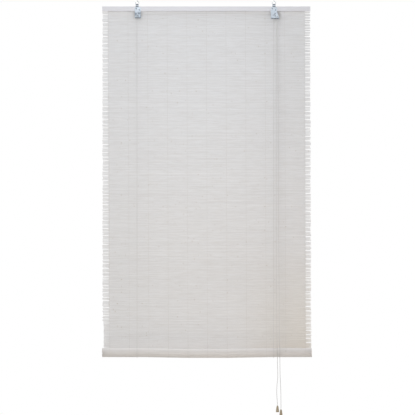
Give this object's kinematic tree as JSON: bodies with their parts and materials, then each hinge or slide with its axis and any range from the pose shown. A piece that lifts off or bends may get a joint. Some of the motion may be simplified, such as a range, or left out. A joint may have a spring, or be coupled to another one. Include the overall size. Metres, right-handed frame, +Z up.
{
  "type": "bamboo roll up blind",
  "caption": "Reed mat on a painted head rail hung from screw hooks; it rolls up at its foot in cord slings led over pulleys and a cord lock to pull cords with wooden tassels.",
  "frame": {"origin": "on the ceiling plane, midway between the shanks of the two screw hooks", "axes": "+Z up, +X to the right seen from the front, front faces -Y"},
  "size_m": [0.9, 0.0576, 1.8292],
  "materials": {
    "painted_rail": "white paint on softwood",
    "reeds": "split bamboo with a white wash",
    "thread": "twisted cotton",
    "zinc": "zinc-plated pressed sheet",
    "steel": "plated wire and fasteners",
    "nylon": "moulded grey nylon",
    "cord": "braided polyester",
    "tassel_wood": "turned, clear lacquer",
    "rod_wood": "bare turned softwood"
  },
  "bodies": {
    "head": {"head_rail": "painted_rail", "reed_mat": "reeds", "warp_threads": "thread", "mat_staples": "steel", "left_bracket": "zinc", "right_bracket": "zinc", "bracket_screws": "steel", "left_axle": "steel", "right_axle": "steel", "left_hook": "steel", "right_hook": "steel", "left_front_cord": "cord", "left_back_cord": "cord", "left_anchor_knot": "cord", "crossing_cord": "cord", "right_front_cord": "cord", "right_back_cord": "cord", "right_anchor_knot": "cord", "right_cord_turn": "cord", "left_pull_cord": "cord", "right_pull_cord": "cord"},
    "slings": {"left_cord_sling": "cord", "right_cord_sling": "cord"},
    "roll": {"mat_roll": "reeds", "bottom_rod": "rod_wood"},
    "left_wheel": {"left_pulley": "nylon"},
    "right_rear_wheel": {"right_pulley_rear": "nylon"},
    "right_front_wheel": {"right_pulley_front": "nylon"},
    "lock": {"lock_roller": "steel"},
    "left_tassel_body": {"left_tassel": "tassel_wood", "left_tassel_knot": "cord"},
    "right_tassel_body": {"right_tassel": "tassel_wood", "right_tassel_knot": "cord"}
  },
  "joints": [
    {"name": "roll_rise", "type": "slide", "parent": "head", "child": "slings", "axis": [0, 0, 1], "range_m": [0, 1.415], "deforming": ["reed_mat", "warp_threads", "left_front_cord", "right_front_cord", "left_back_cord", "right_back_cord"]},
    {"name": "roll_spin", "type": "hinge", "parent": "slings", "child": "roll", "pos_m": [0, 0.01115, -1.531], "axis": [1, 0, 0], "range_deg": [-2880, 0]},
    {"name": "left_wheel_spin", "type": "hinge", "parent": "head", "child": "left_wheel", "pos_m": [-0.29, -0.01105, -0.0762], "axis": [0, 1, 0], "continuous": true},
    {"name": "right_rear_wheel_spin", "type": "hinge", "parent": "head", "child": "right_rear_wheel", "pos_m": [0.3006, -0.01105, -0.0762], "axis": [0, 1, 0], "continuous": true},
    {"name": "right_front_wheel_spin", "type": "hinge", "parent": "head", "child": "right_front_wheel", "pos_m": [0.3006, -0.01635, -0.0762], "axis": [0, 1, 0], "continuous": true},
    {"name": "left_tassel_drop", "type": "slide", "parent": "head", "child": "left_tassel_body", "axis": [0, 0, -1], "range_m": [0, 2.83], "deforming": ["left_pull_cord"]},
    {"name": "right_tassel_drop", "type": "slide", "parent": "head", "child": "right_tassel_body", "axis": [0, 0, -1], "range_m": [0, 2.83], "deforming": ["right_pull_cord"]},
    {"name": "lock_slide", "type": "slide", "parent": "head", "child": "lock", "axis": [-0.3363, 0, 0.9417], "range_m": [0, 0.0032]}
  ],
  "couplings": [
    {"joint": "roll_spin", "follows": "roll_rise", "rad_per_m": -35.523},
    {"joint": "left_wheel_spin", "follows": "roll_rise", "rad_per_m": 317.46},
    {"joint": "right_rear_wheel_spin", "follows": "roll_rise", "rad_per_m": 317.46},
    {"joint": "right_front_wheel_spin", "follows": "roll_rise", "rad_per_m": 317.46},
    {"joint": "left_tassel_drop", "follows": "roll_rise", "ratio": 2},
    {"joint": "right_tassel_drop", "follows": "roll_rise", "ratio": 2}
  ]
}
